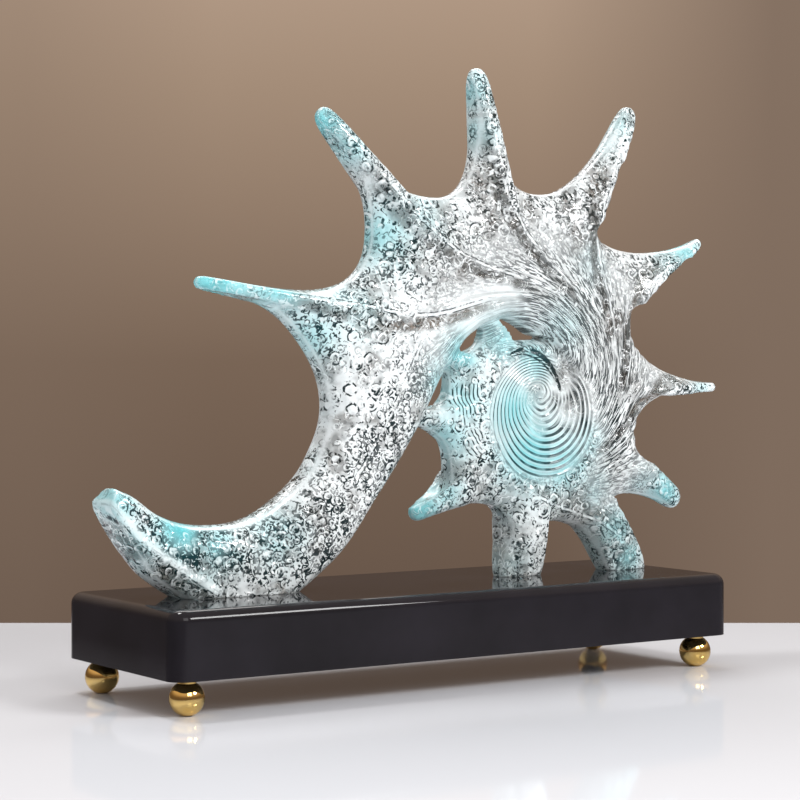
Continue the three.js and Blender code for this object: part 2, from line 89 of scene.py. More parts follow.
# Outline of the shell as it grew: valleys with their heading, and the horns between them.
# Points are in hundredths of the shell's height from the middle of the base top,
# and so is rib, the length of the straight part of a horn's rib.
GROWTH = [
    dict(at=(36.5, 44.9), heading=157, thick=0.57, fill=0.95),
    dict(at=(25.8, 46.8), heading=184, thick=0.5, fill=0.95),
    dict(tip=(17, 52.6), aim=108, round=1.5, rib=5, flare=(0.62, 0.42)),
    dict(at=(13, 44.7), heading=203, thick=0.68, fill=0.95),
    dict(tip=(3.6, 45.3), aim=155, round=1.7, rib=7.5),
    dict(at=(8, 37.5), heading=266, thick=0.71, fill=0.92),
    dict(tip=(-0.8, 31.7), aim=172, round=1.5, rib=7.5),
    dict(at=(7.8, 22.6), heading=274, thick=0.79, fill=0.85),
    dict(tip=(-0.4, 13), aim=194, round=1.7, rib=11, flare=(0.6, 0.4)),
    dict(at=(16.8, 14.5), heading=353, thick=0.86, fill=0.78, square=2),
    dict(tip=(24.7, -4.4), aim=263, round=5.2, rib=11, flare=(0.5, 0.5)),
    dict(at=(33.5, 10.5), heading=0, thick=0.89, fill=0.74, square=2.2),
    dict(tip=(55.6, -4.6), aim=303, round=5, rib=14, flare=(0.4, 0.62)),
    dict(at=(48.2, 13.2), heading=72, thick=0.89, fill=0.72),
    dict(tip=(67.3, 13), aim=328, round=2.3, rib=12.5, flare=(0.28, 0.42)),
    dict(at=(54.7, 27.9), heading=92, thick=0.93, fill=0.7, parting=True),
    dict(tip=(77.4, 37.1), aim=0, round=1, rib=14, flare=(0.4, 0.34), seat=(36.9, 35.4)),
    dict(at=(53, 50.9), heading=92, thick=0.96, fill=0.8, seat=(36.9, 39.6)),
    dict(tip=(73.2, 67.7), aim=27, round=1, rib=18, flare=(0.36, 0.3), seat=(35.8, 42.6)),
    dict(at=(43.4, 70.9), heading=98, thick=0.96, fill=0.8, seat=(33.5, 45.1)),
    dict(tip=(54.3, 94.5), aim=61, round=1.9, rib=22, flare=(0.45, 0.3), seat=(31.7, 47.2)),
    dict(at=(31.9, 75.9), heading=186, thick=0.96, fill=0.32, seat=(28.1, 48)),
    dict(tip=(15.2, 100), aim=98, round=1.9, rib=24, flare=(0.47, 0.42), seat=(25.1, 49.7)),
    dict(at=(5, 74.2), heading=180, fill=0.22, seat=(21.4, 50.9)),
    dict(tip=(-21, 89.7), aim=134, round=1.9, rib=26, seat=(18, 50.3)),
    dict(at=(-10.1, 66.9), heading=268, fill=0.15, square=1.9, seat=(14.9, 48.8)),
    dict(tip=(-47.4, 57), aim=173, round=1.2, rib=35, seat=(11.4, 46.2)),
    dict(at=(-25.2, 46.3), heading=310, fill=0.15, square=2.4, seat=(6.7, 40.5)),
    dict(at=(-19.9, 33.8), heading=270, fill=0.12, square=2.8, seat=(-0.6, 28.7)),
    dict(at=(-22.9, 24.7), heading=242, fill=0.12, square=3.2, seat=(-9.6, 16.6)),
    dict(at=(-31.9, 16.1), heading=213, fill=0.12, square=3.6, seat=(-20.1, 4.4)),
    dict(at=(-44, 12.8), heading=180, thick=0.96, fill=0.12, square=4, seat=(-37.7, -4.8)),
    dict(at=(-55.8, 15.3), heading=153, thick=0.89, fill=0.12, square=4, seat=(-56.4, 2.9)),
    dict(at=(-62.9, 19.6), heading=165, thick=0.74, fill=0.12, square=4, seat=(-65.4, 15.6)),
    dict(at=(-64.4, 20.2), heading=188, thick=0.42, fill=0.3, square=4, seat=(-65.6, 18.2)),
]
GROWTH = [dict(thick=1, square=1.8) | entry for entry in GROWTH]
PARTING = next(i for i, e in enumerate(GROWTH) if e.get("parting"))
FLANK_STEPS, TIP_STEPS, ARM_STEPS, ROWS = 70, 14, 40, 40
# How the rows crowd toward the edge, and how much a horn's outer part is drawn out
ROW_BIAS, STRETCH = 1.2, 3
# Section from the core to the edge: where it is thickest, and how thick it is at the edge
CREST, EDGE_SHARE = 0.4, 0.07
# Curve of a horn's flanks, share of its run that its tip takes, and curve of the arm and tail
FLARE, TIP_SHARE, ARM_BEND = 0.42, 0.16, 0.36
# Half the least thickness, and the step of the remeshed surface
RIM_HALF = 1.5
VOXEL = 0.95


def placed(p):
    return np.array(p, float) * UNIT


def direction(degrees):
    a = math.radians(degrees)
    return np.array([math.cos(a), math.sin(a)])


def bent(p, p_run, q, q_run, bend):
    reach = np.linalg.norm(q - p) * bend
    a, b = p + p_run * reach, q - q_run * reach
    return lambda t: (1 - t) ** 3 * p + 3 * (1 - t) ** 2 * t * a + 3 * (1 - t) * t**2 * b + t**3 * q


def stretch(start, horn, end):
    p, q = placed(start["at"]), placed(end["at"])
    p_run, q_run = direction(start["heading"]), direction(end["heading"])
    if horn is None:
        line = bent(p, p_run, q, q_run, ARM_BEND)
        return [(line(i / ARM_STEPS), i / ARM_STEPS) for i in range(ARM_STEPS)]
    axis, across = direction(horn["aim"]), direction(horn["aim"] + 90)
    out_flare, back_flare = horn.get("flare", (FLARE, FLARE))
    r = horn["round"] * UNIT
    centre = placed(horn["tip"]) - axis * r
    out = bent(p, p_run, centre - across * r, axis, out_flare)
    back = bent(centre + across * r, -axis, q, q_run, back_flare)
    a, b = (1 - TIP_SHARE) / 2, (1 + TIP_SHARE) / 2
    points = [(out(i / FLANK_STEPS), a * i / FLANK_STEPS) for i in range(FLANK_STEPS)]
    for i in range(TIP_STEPS):
        d = direction(horn["aim"] - 90 + 180 * i / TIP_STEPS)
        points.append((centre + d * r, a + (b - a) * i / TIP_STEPS))
    return points + [(back(i / FLANK_STEPS), b + (1 - b) * i / FLANK_STEPS) for i in range(FLANK_STEPS)]


def through(points, s):
    """Smooth curve through the points at the place s, counted in points."""
    count = len(points)
    i = min(int(s), count - 2)
    w = s - i
    p0, p1, p2, p3 = (points[min(max(j, 0), count - 1)] for j in (i - 1, i, i + 1, i + 2))
    v0, v1 = (p2 - p0) / 2, (p3 - p1) / 2
    return (2 * p1 - 2 * p2 + v0 + v1) * w**3 + (3 * p2 - 3 * p1 - 2 * v0 - v1) * w**2 + v0 * w + p1


def half_thickness(u, half, fill, square):
    inner = 1 - np.clip(u / CREST, 0, 1)
    outer = np.clip((u - CREST) / (1 - CREST), 0, 1)
    rise = fill + (1 - fill) * np.sqrt(1 - inner ** max(square, 2))
    fall = EDGE_SHARE + (1 - EDGE_SHARE) * np.sqrt(np.maximum(0, 1 - outer**square))
    return half * np.where(u < CREST, rise, fall)


def whorl(low, high):
    """Grid of points of the whorl between two entries: place in the plane, and half thickness."""
    entries = GROWTH[low:high + 1]
    last = len(entries) - 1

    def on_core(p):
        return CORE + (p - CORE) / np.linalg.norm(p - CORE) * CORE_RADIUS

    seated = any("seat" in e for e in entries)
    seats = [
        placed(e["seat"]) if "seat" in e else on_core(placed(e.get("at", e.get("tip"))))
        for e in entries
    ]
    reach = {i: np.linalg.norm(seats[i] - placed(e["at"])) for i, e in enumerate(entries) if "at" in e}
    u = 1 - (1 - np.arange(ROWS + 1) / ROWS) ** ROW_BIAS
    rows = []
    i = 0
    while i < last:
        horn = entries[i + 1] if "tip" in entries[i + 1] else None
        step = 2 if horn else 1
        a, b = entries[i], entries[i + step]
        samples = stretch(a, horn, b)
        if i + step == last:
            samples.append((placed(b["at"]), 1.0))
        for point, share in samples:
            mix = {k: a[k] + (b[k] - a[k]) * share for k in ("thick", "fill", "square")}
            place = i + step * share
            seat = through(seats, place) if seated else on_core(point)
            full = np.linalg.norm(point - seat)
            body = min(full, reach[i] + (reach[i + step] - reach[i]) * share)
            way = (body * u + (full - body) * u**STRETCH) / full
            spots = seat + np.outer(way, point - seat)
            half = half_thickness(u, mix["thick"] * SHELL_THICKNESS / 2, mix["fill"], mix["square"])
            rows.append(np.column_stack([spots, half]))
        i += step
    return np.array(rows)


def closed_mesh(name, grid):
    """Closed mesh over a whorl grid, with a front and a rear face."""
    count, rows = grid.shape[:2]
    half = np.maximum(grid[..., 2], RIM_HALF)
    front, rear = (
        np.stack([grid[..., 0] + centre_x, side * half, grid[..., 1] + base_top], axis=-1)
        for side in (-1, 1)
    )
    rings = np.concatenate([front, rear[:, ::-1]], axis=1)
    size = 2 * rows
    index = np.arange(count * size).reshape(count, size)
    after = np.roll(index, -1, axis=1)
    quads = np.stack([index[:-1], after[:-1], after[1:], index[1:]], axis=-1).reshape(-1, 4)
    k = np.arange(rows - 1)
    first, end = index[0], index[-1]
    cap_a = np.stack([first[size - 1 - k], first[size - 2 - k], first[k + 1], first[k]], axis=-1)
    cap_b = np.stack([end[k], end[k + 1], end[size - 2 - k], end[size - 1 - k]], axis=-1)
    return make_object(name, rings.reshape(-1, 3), np.concatenate([quads, cap_a, cap_b]).tolist())


def make_object(name, points, faces):
    mesh = bpy.data.meshes.new(name)
    mesh.from_pydata((np.asarray(points, float) * MM).tolist(), [], faces)
    mesh.validate()
    bm = bmesh.new()
    bm.from_mesh(mesh)
    bmesh.ops.recalc_face_normals(bm, faces=bm.faces)
    bm.to_mesh(mesh)
    bm.free()
    obj = bpy.data.objects.new(name, mesh)
    scene.collection.objects.link(obj)
    return obj


def ease(a, b, x):
    """Smooth step from 0 at a to 1 at b."""
    t = np.clip((x - a) / (b - a), 0, 1)
    return t * t * (3 - 2 * t)


def nucleus():
    """Plain dome of the eye, the same on both faces."""
    steps, rings = 72, 14
    shares = np.arange(1, rings + 1) / rings
    angles = np.arange(steps) * 2 * math.pi / steps
    share, angle = np.meshgrid(shares, angles, indexing="ij")
    dome = NUCLEUS_EDGE + (NUCLEUS_HEIGHT - NUCLEUS_EDGE) * np.sqrt(1 - share**2)
    x = EYE[0] + centre_x + NUCLEUS_RADIUS * share * np.cos(angle)
    z = EYE[1] + base_top + NUCLEUS_RADIUS * share * np.sin(angle)
    points, faces = [], []
    for side in (-1, 1):
        first = len(points)
        points.append((EYE[0] + centre_x, side * NUCLEUS_HEIGHT, EYE[1] + base_top))
        points += np.stack([x, side * dome, z], axis=-1).reshape(-1, 3).tolist()
        ring = np.arange(rings * steps).reshape(rings, steps) + first + 1
        for k in range(steps):
            after = (k + 1) % steps
            faces.append((first, int(ring[0, k]), int(ring[0, after])))
            for r in range(rings - 1):
                corners = (ring[r, k], ring[r + 1, k], ring[r + 1, after], ring[r, after])
                faces.append(tuple(map(int, corners)))
    half = len(points) // 2
    rim = 1 + (rings - 1) * steps
    for k in range(steps):
        after = (k + 1) % steps
        faces.append((rim + k, rim + k + half, rim + after + half, rim + after))
    return make_object("eye", points, faces)


def smooth(obj):
    for poly in obj.data.polygons:
        poly.use_smooth = True


def paint(obj, finish):
    obj.data.materials.clear()
    obj.data.materials.append(finish)


def prism(name, corners, low, high):
    """Upright solid over four corners, from one height to another."""
    points = [(x, y, z) for z in (low, high) for x, y in corners]
    faces = [(0, 3, 2, 1), (4, 5, 6, 7), (0, 1, 5, 4), (1, 2, 6, 5), (2, 3, 7, 6), (3, 0, 4, 7)]
    return make_object(name, points, faces)


def box_object(name, low, high):
    (x0, y0, z0), (x1, y1, z1) = low, high
    return prism(name, ((x0, y0), (x1, y0), (x1, y1), (x0, y1)), z0, z1)


def apply_modifier(obj, kind, **values):
    mod = obj.modifiers.new(kind, kind)
    for key, value in values.items():
        setattr(mod, key, value)
    bpy.context.view_layer.objects.active = obj
    bpy.ops.object.modifier_apply(modifier=mod.name)


def boolean(target, tool, operation):
    apply_modifier(target, "BOOLEAN", operation=operation, solver="MANIFOLD", object=tool)
    bpy.data.objects.remove(tool)


def of_vertices(obj, key):
    values = np.empty(len(obj.data.vertices) * 3)
    obj.data.vertices.foreach_get(key, values)
    return values.reshape(-1, 3)


def coordinates(obj):
    """Vertex places in shell millimetres: x and z from the middle of the base top, y from the mid plane."""
    return of_vertices(obj, "co") / MM - origin


def polar(x, z):
    return np.hypot(x - EYE[0], z - EYE[1]), np.arctan2(z - EYE[1], x - EYE[0])


# Flow lines of the shell: each leaves its horn straight and winds clockwise into the spiral.
# TURN is the angle that a line has turned by when it is close to the eye, half of it at TURN_RADIUS.
TURN, TURN_RADIUS, TURN_POWER = math.radians(160), 39.7, 4.6
FAN_LINES, FAN_HEADING = 48, 55
# Lines around the eye: RING_STARTS spirals side by side, whose turns grow downward by RING_LEAN of their
# radius, and where they begin and fade, as radii
RING_LEAN = np.array([0.02, -0.42])
RING_PITCH, RING_STARTS = 2.25, 5
RING_BEGIN, RING_FADE = (2, 4), (27, 33)
# Where the fan of lines begins and fades, as radii, how many degrees it reaches to each side at two radii,
# and over how many more it fades there
FAN_BEGIN, FAN_FADE = (28, 34), (52, 92)
FAN_RADII, FAN_REACHES, FAN_EDGE = [38, 54], [62, 90], 45
# Side of a bubble that is lit, which gets the painted highlight; the painted shade lies on the other side
LIT_SIDE = (-0.62, 0.0, 0.78)


def turned_by(r):
    return TURN / (1 + (r / TURN_RADIUS) ** TURN_POWER)


def ring_radius(x, z):
    qx, qz = x - EYE[0], z - EYE[1]
    lean = qx * RING_LEAN[0] + qz * RING_LEAN[1]
    rest = 1 - RING_LEAN @ RING_LEAN
    rho = (np.sqrt(lean**2 + rest * (qx**2 + qz**2)) - lean) / rest
    return rho, np.arctan2(qz - rho * RING_LEAN[1], qx - rho * RING_LEAN[0])


def runs(line):
    """Length of each run of a polyline, and how far along it each of its points lies."""
    lengths = np.hypot(*np.diff(line, axis=0).T)
    return lengths, np.concatenate([[0], np.cumsum(lengths)])


def to_polyline(x, z, line):
    """Distance to a polyline, positive on its left, and the share of the way along it."""
    line = np.asarray(line, float)
    lengths, ends = runs(line)
    best = np.full(x.shape, 1e9)
    signed = np.zeros(x.shape)
    along = np.zeros(x.shape)
    for i, (p, q) in enumerate(zip(line[:-1], line[1:])):
        run = (q - p) / lengths[i]
        dx, dz = x - p[0], z - p[1]
        t = np.clip(dx * run[0] + dz * run[1], 0, lengths[i])
        d = np.hypot(dx - t * run[0], dz - t * run[1])
        near = d < best
        best = np.where(near, d, best)
        signed = np.where(near, np.where(run[0] * dz - run[1] * dx >= 0, d, -d), signed)
        along = np.where(near, (ends[i] + t) / ends[-1], along)
    return signed, along


# Rib on each horn: it runs straight down the horn, then along a flow line toward the eye
RIB_HEIGHT, RIB_HALF_WIDTH, RIB_TIP_SHARE, RIB_STEPS = 1.9, 9.0, 0.15, 10
RIB_END_RADIUS, RIB_LEAST_RUN = 16.8 * UNIT, 2 * UNIT
# Least length of a rib that has a pale line and a clear band, in hundredths of the shell's height
LINED_RIB = 14


def rib_line(horn):
    """Points of a rib, its height and half width at each, and whether a pale line runs along it."""
    tip = placed(horn["tip"])
    root = tip - direction(horn["aim"]) * horn["rib"] * UNIT
    r, theta = polar(*root)
    radii = np.linspace(r, min(RIB_END_RADIUS, r - RIB_LEAST_RUN), RIB_STEPS + 1)
    angles = theta + turned_by(r) - turned_by(radii)
    flow = np.column_stack([EYE[0] + radii * np.cos(angles), EYE[1] + radii * np.sin(angles)])
    left = np.linspace(1, 0, RIB_STEPS + 1)
    heights = np.concatenate([[0], RIB_HEIGHT * left])
    widths = np.concatenate([[RIB_HALF_WIDTH * RIB_TIP_SHARE], RIB_HALF_WIDTH * (left + 1) / 2])
    return np.vstack([tip, flow]), heights, widths, horn["rib"] >= LINED_RIB


ribs = [rib_line(e) for e in GROWTH if "tip" in e]


def smooth_line(*points):
    """Four short straight runs to each stretch of a smooth curve through the points."""
    line = [np.array(p, float) for p in points]
    return [through(line, s) for s in np.linspace(0, len(line) - 1, 4 * len(line) - 3)]


# Ridge along the tail, and the dark crease that curves in above the eye
TAIL_RIDGE = smooth_line(
    (-161, 44.5), (-151.3, 32.8), (-142.3, 23.2), (-129.3, 14.4), (-119.7, 8.4), (-109.5, 2)
)
CREASE = smooth_line((49, 104), (58, 107), (67, 105.5), (74, 100.5), (79, 92.5), (81, 86))
# Furrow down the arm, beside its right edge
ARM_LINE = smooth_line((-2, 112), (-11, 95), (-20.5, 77), (-31, 61), (-42, 44))
# How far from a rib's line its place across is kept for the material
LINE_REACH = 7.0
TAIL_RIDGE_HEIGHT, TAIL_RIDGE_HALF_WIDTH = 1.5, 5
# The tail's marks fade out between these x
TAIL_FADE = (-112, -98)


def to_rib(x, z, rib):
    """Signed distance to a rib's line, share of the way along it, and the height and half width there."""
    line, heights, widths, _ = rib
    side, along = to_polyline(x, z, line)
    ends = runs(line)[1]
    ends = ends / ends[-1]
    return side, along, np.interp(along, ends, heights), np.interp(along, ends, widths)


def marks(x, z):
    """What is where on the shell: shares from 0 to 1, rib heights, and the place across the nearest rib."""
    r, theta = polar(x, z)
    rho, _ = ring_radius(x, z)
    rings = ease(*RING_BEGIN, rho) * (1 - ease(*RING_FADE, rho))
    off_fan = np.abs((np.degrees(theta) - FAN_HEADING + 180) % 360 - 180)
    reach = np.interp(r, FAN_RADII, FAN_REACHES)
    fan = ease(*FAN_BEGIN, rho) * (1 - ease(*FAN_FADE, r))
    fan = fan * (1 - ease(0, FAN_EDGE, off_fan - reach))
    clear = np.zeros(x.shape)
    ridge = np.zeros(x.shape)
    side_of = np.full(x.shape, LINE_REACH)
    near = np.zeros(x.shape)
    for rib in ribs:
        side, along, height, width = to_rib(x, z, rib)
        lined = rib[3]
        away = np.abs(side)
        ridge = np.maximum(ridge, height * np.clip(1 - away / width, 0, 1))
        if not lined:
            continue
        band = ease(0.6, 1.6, -side) * (1 - ease(0.8, 1.25, -side / width))
        clear = np.maximum(clear, band * ease(0.1, 0.25, along) * (1 - ease(0.72, 0.95, along)))
        closer = away < np.abs(side_of)
        side_of = np.where(closer, side, side_of)
        inside = (1 - ease(0.6, 1.0, away / LINE_REACH)) * ease(0.15, 0.35, along)
        inside = inside * (1 - ease(0.7, 0.9, along))
        near = np.where(closer, inside, near)
    side, _ = to_polyline(x, z, TAIL_RIDGE)
    near_tail = 1 - ease(*TAIL_FADE, x)
    tail = ease(0.0, 2.0, -side) * near_tail
    tail_edge = ease(6.5, 9.0, -side) * near_tail
    away = np.abs(side)
    slope = np.clip(1 - away / TAIL_RIDGE_HALF_WIDTH, 0, 1)
    ridge = np.maximum(ridge, TAIL_RIDGE_HEIGHT * slope * near_tail)
    at_tail = (away < np.abs(side_of)) & (near_tail > 0)
    side_of = np.where(at_tail, side, side_of)
    near = np.where(at_tail, near_tail * (1 - ease(0.6, 1.0, away / LINE_REACH)), near)
    calm = near_tail * ease(-0.5, 0.5, side) * (1 - ease(1.8, 4, side))
    side, along = to_polyline(x, z, ARM_LINE)
    away = np.abs(side)
    at_arm = away < np.abs(side_of)
    side_of = np.where(at_arm, side, side_of)
    ends = ease(0, 0.1, along) * (1 - ease(0.85, 1, along))
    near = np.where(at_arm, ends * (1 - ease(0.3, 0.6, away / LINE_REACH)), near)
    crease, along = to_polyline(x, z, CREASE)
    crease = crease / (0.4 + 1.2 * np.sin(np.pi * along))
    by_crease = ease(0.0, 0.05, along) * (1 - ease(0.95, 1.0, along))
    by_crease = by_crease * (1 - ease(3.0, 4.5, np.abs(crease)))
    return dict(
        clear=np.maximum(clear, tail * (1 - 0.75 * tail_edge)), rings=rings, fan=fan, ridge=ridge, tail=tail,
        crease=np.clip(crease, -LINE_REACH, LINE_REACH), by_crease=by_crease,
        across=np.clip(side_of, -LINE_REACH, LINE_REACH), near=near, calm=calm,
    )


def ring_grooves(x, z):
    rho, phi = ring_radius(x, z)
    return 0.5 - 0.5 * np.cos(2 * np.pi * (rho / RING_PITCH - RING_STARTS * phi / (2 * np.pi)))


def fan_grooves(x, z):
    r, theta = polar(x, z)
    waver = 0.35 * np.sin(r * 0.21 + 3 * theta) + 0.2 * np.sin(r * 0.53 - 5 * theta)
    return 0.5 - 0.5 * np.cos(FAN_LINES * (theta + turned_by(r)) + 2 * waver)


# Pits and drops in each face: how many are tried, the area they fall in and their radii, in shell millimetres
STONES, STONE_LOW, STONE_HIGH = 14000, (-165, 0), (190, 240)
STONE_LEAST, STONE_MOST = 1.3, 3.2
# Side of the cells that neighbours are looked for in, and the share of their radii that stones keep apart
CELL, KEPT_APART = 8, 0.92
# One in so many is a drop, and the others are pits with a raised rim
DROP_EVERY = 4
# As shares of a stone's radius
STONE_REACH, PIT_DEPTH, PIT_RIM, PIT_RIM_WIDTH, PIT_RIM_RISE, DROP_RISE = 1.35, 0.30, 0.95, 0.22, 0.12, 0.34


def scatter():
    """Circles dropped at random that hardly overlap, fewer of them where stone_share is low."""
    spots = rng.uniform(STONE_LOW, STONE_HIGH, size=(STONES, 2))
    radii = STONE_LEAST + (STONE_MOST - STONE_LEAST) * rng.random(STONES) ** 1.6
    kept = stone_share(*spots.T) > rng.random(STONES)
    cells = {}
    chosen = []
    for (px, pz), r in zip(spots[kept], radii[kept]):
        key = (int(px // CELL), int(pz // CELL))
        around = [(key[0] + i, key[1] + j) for i in (-1, 0, 1) for j in (-1, 0, 1)]
        near = [q for cell in around for q in cells.get(cell, [])]
        if all(math.hypot(px - q[0], pz - q[1]) > KEPT_APART * (r + q[2]) for q in near):
            cells.setdefault(key, []).append((px, pz, r))
            chosen.append((px, pz, r))
    return np.array(chosen)


def stone_share(x, z):
    m = marks(x, z)
    return np.clip(1 - 1.2 * m["rings"] - 0.8 * m["fan"] - 0.75 * m["tail"] - 0.45 * m["clear"], 0, 1)


def pebbles(x, z, side):
    """Round pits and drops in the face on one side."""
    stones = scatter()
    tree = KDTree(len(stones))
    for i, (px, pz, _) in enumerate(stones):
        tree.insert((px, pz, 0), i)
    tree.balance()
    rise = np.zeros(x.shape)
    for k in np.flatnonzero(side):
        _, i, d = tree.find((x[k], z[k], 0))
        r = stones[i][2]
        t = d / r
        if t >= STONE_REACH:
            continue
        bowl = max(0.0, 1 - t * t)
        if i % DROP_EVERY:
            rim = PIT_RIM_RISE * r * math.exp(-(((t - PIT_RIM) / PIT_RIM_WIDTH) ** 2))
            rise[k] = rim - PIT_DEPTH * r * bowl
        else:
            rise[k] = DROP_RISE * r * bowl**0.6
    return rise


def spread(spots, x, z):
    """Strongest of the spots, and their sum, at each place."""
    most, total = np.zeros(x.shape), np.zeros(x.shape)
    for spot_x, spot_z, reach, strength in spots:
        share = strength * np.exp(-((x - spot_x) ** 2 + (z - spot_z) ** 2) / reach**2)
        most = np.maximum(most, share)
        total = total + share
    return most, total


# Where the flanks of the horns are worn smoother, in shell millimetres: place, reach and strength
ROUGH = [
    (112, 113, 8, 1), (115, 121, 8, 1), (120, 126, 7, 1), (122, 108, 7, 1), (126, 116, 9, 1),
    (133, 121, 9, 1), (138, 127, 8, 1), (145, 133, 8, 1), (152, 140, 8, 1), (160, 148, 6, 1), (95, 158, 7, 1),
    (95, 166, 8, 1), (99, 174, 7, 1), (101, 165, 7, 1), (104, 160, 7, 1), (106, 172, 7, 1), (112, 183, 7, 1),
    (117, 193, 6, 0.8), (102, 152, 6, 0.8), (8, 44, 7, 1), (14, 50, 7, 1), (20, 56, 7, 1), (19, 64, 6, 0.8),
    (2, 38, 5, 0.6), (96, 24, 6, 0.8),
]


def away_from_edges(level, mesh, rounds):
    """Least level among the neighbours, taken so many times over, so that it is low beside an edge too."""
    pairs = np.empty(2 * len(mesh.edges), int)
    mesh.edges.foreach_get("vertices", pairs)
    a, b = pairs.reshape(-1, 2).T
    for _ in range(rounds):
        least = level.copy()
        np.minimum.at(least, a, level[b])
        np.minimum.at(least, b, level[a])
        level = least
    return level


# How often the whole shell and its worn flanks are smoothed, and from which strength on
SMOOTH_ROUNDS, WEAR_ROUNDS, WEAR_SHARE = 9, 150, (0.25, 0.6)
# Fine region around the eye, as radii
FINE_RING, FINE_RADIUS = 31, 52
RING_DEPTH, FAN_DEPTH, CREASE_DEPTH, CREASE_SPREAD = 0.9, 0.75, 1.2, 1.2
# The normal's share along Y from which relief and stones begin, and at which they are full, and how many
# rounds of neighbours the stones keep from the steeper places
RELIEF_TURN, STONE_TURN, EDGE_ROUNDS = (0.15, 0.6), (0.6, 0.9), 3
# Room left inside the CAD box, how far the shell may reach into the base, and the size of what is cut off
BOX_ROOM, BELOW, CUT = 0.02, 30, 60

shell = closed_mesh("shell", whorl(0, PARTING))
boolean(shell, closed_mesh("outer", whorl(PARTING, len(GROWTH) - 1)), "UNION")
boolean(shell, nucleus(), "UNION")
apply_modifier(shell, "REMESH", mode="VOXEL", voxel_size=VOXEL * MM)
apply_modifier(shell, "SMOOTH", factor=0.5, iterations=SMOOTH_ROUNDS)
x, _, z = coordinates(shell).T
rough = ease(*WEAR_SHARE, spread(ROUGH, x, z)[0])
group = shell.vertex_groups.new(name="rough")
for k in np.flatnonzero(rough > 0):
    group.add([int(k)], float(rough[k]), "REPLACE")
apply_modifier(shell, "SMOOTH", factor=0.5, iterations=WEAR_ROUNDS, vertex_group="rough")
shell.vertex_groups.clear()
x, _, z = coordinates(shell).T
rho, _ = ring_radius(x, z)
r, _ = polar(x, z)
fine = set(np.flatnonzero((rho < FINE_RING) & (r < FINE_RADIUS)).tolist())
bm = bmesh.new()
bm.from_mesh(shell.data)
bm.verts.ensure_lookup_table()
edges = [e for e in bm.edges if e.verts[0].index in fine and e.verts[1].index in fine]
bmesh.ops.subdivide_edges(bm, edges=edges, cuts=1, use_grid_fill=True, smooth=0.0)
bmesh.ops.triangulate(bm, faces=[f for f in bm.faces if len(f.verts) > 4])
bm.to_mesh(shell.data)
bm.free()
place = coordinates(shell)
normal = of_vertices(shell, "normal")
x, y, z = place.T
mark = marks(x, z)
level = np.abs(normal[:, 1])
facing = ease(*RELIEF_TURN, level)
flat = away_from_edges(ease(*STONE_TURN, level), shell.data, EDGE_ROUNDS)
rise = mark["ridge"]
rise = rise - RING_DEPTH * mark["rings"] * ring_grooves(x, z) - FAN_DEPTH * mark["fan"] * fan_grooves(x, z)
rise = rise - CREASE_DEPTH * mark["by_crease"] * np.exp(-((mark["crease"] / CREASE_SPREAD) ** 2))
stones = np.where(y < 0, pebbles(x, z, y < 0), pebbles(x, z, y >= 0))
rise = rise * facing + stones * flat
moved = place + normal * rise[:, None]
low_limit = shell_low - origin + BOX_ROOM
high_limit = shell_high - origin - BOX_ROOM
low_limit[2] = -BELOW
moved = np.clip(moved, low_limit, high_limit)
shell.data.vertices.foreach_set("co", ((moved + origin) * MM).ravel())
shell.data.update()
below = box_object("below", (-BASE_LENGTH, -CUT, base_top - CUT), (BASE_LENGTH, CUT, base_top))
boolean(shell, below, "DIFFERENCE")

# Where the blue tint is deep, in shell millimetres: place, reach and strength
TINTS = [
    (-104, 138, 26, 1), (-78, 135, 18, 0.9), (-51, 207, 14, 0.9), (-40, 196, 12, 0.6), (-22, 158, 16, 0.7),
    (29, 228, 12, 0.85), (33, 208, 9, 0.6), (118, 220, 10, 0.5), (108, 208, 8, 0.35), (160, 156, 12, 0.85),
    (148, 152, 9, 0.4), (170, 88, 9, 0.35), (146, 37, 13, 0.85), (132, 42, 9, 0.4), (0, 35, 14, 0.95),
    (14, 40, 10, 0.6), (-158, 46, 14, 0.85), (-150, 20, 16, 0.55), (-125, 30, 15, 0.95), (-108, 22, 12, 0.7),
    (-118, 10, 12, 0.4), (-60, 112, 14, 0.6), (-60, 96, 9, 0.6), (-57, 82, 8, 0.5), (-51, 133, 14, 0.45),
    (-35, 124, 12, 0.4), (22, 104, 12, 0.85), (46, 112, 14, 0.8), (10, 92, 12, 0.5), (24, 84, 14, 0.6),
    (14, 64, 14, 0.7), (10, 50, 12, 0.5), (60, 60, 20, 0.9), (52, 78, 16, 0.9), (78, 54, 18, 0.75),
    (64, 102, 12, 0.7), (92, 62, 12, 0.45), (112, 18, 13, 0.75), (122, 6, 10, 0.85), (98, 40, 12, 0.35),
    (50, 8, 12, 0.35), (46, 30, 12, 0.3), (0, 170, 14, 0.35), (78, 118, 14, 0.35), (96, 148, 10, 0.25),
    (-80, 26, 14, 0.45), (-62, 60, 8, 0.3),
]
